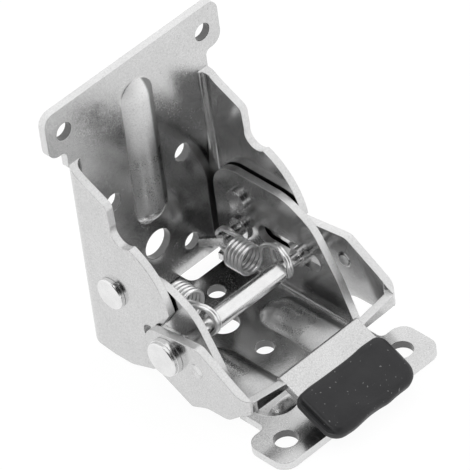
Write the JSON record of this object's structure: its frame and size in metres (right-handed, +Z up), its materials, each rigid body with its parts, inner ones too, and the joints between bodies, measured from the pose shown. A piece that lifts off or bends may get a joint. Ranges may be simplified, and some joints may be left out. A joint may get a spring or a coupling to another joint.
{
  "type": "folding table leg bracket",
  "caption": "Folding table leg bracket: two riveted channel brackets with a spring-held locking rod in slots and a looped release lever with a rubber grip.",
  "frame": {"origin": "on the underside of the base bracket, midway between its walls and straight below the hinge axis", "axes": "+X along the hinge axis, to the right as seen from the grip; -Y from the hinge towards the grip; +Z up from the base bracket's underside"},
  "size_m": [0.0603, 0.0783, 0.0784],
  "materials": {
    "zinc_sheet": "bright zinc plated, slightly rolled grain",
    "turned_steel": "bright zinc plated, turned",
    "spring_wire": "bright drawn wire",
    "rubber_grip": "matt black dipped rubber"
  },
  "bodies": {
    "base": {"base_bracket": "zinc_sheet", "hinge_rivet_left": "turned_steel", "hinge_rivet_right": "turned_steel", "spring_anchor_left": "turned_steel", "spring_anchor_right": "turned_steel", "spring_left": "spring_wire", "spring_right": "spring_wire"},
    "upright": {"upright_bracket": "zinc_sheet"},
    "rod": {"lock_rod": "turned_steel", "rod_sleeve": "turned_steel", "rod_washer_left": "turned_steel", "rod_washer_right": "turned_steel"},
    "lever": {"release_lever": "zinc_sheet", "lever_grip": "rubber_grip"}
  },
  "joints": [
    {"name": "upright_fold", "type": "hinge", "parent": "base", "child": "upright", "pos_m": [0, 0, 0.024], "axis": [1, 0, 0], "range_deg": [0, 90]},
    {"name": "lock_slide", "type": "slide", "parent": "base", "child": "rod", "axis": [0, -1, 0], "range_m": [-0.0016, 0.0035], "stiffness_N_per_m": 1200, "deforming": ["spring_left", "spring_right"]},
    {"name": "lever_swing", "type": "hinge", "parent": "rod", "child": "lever", "pos_m": [0, -0.0214, 0.017], "axis": [1, 0, 0], "range_deg": [-20, 0]}
  ]
}
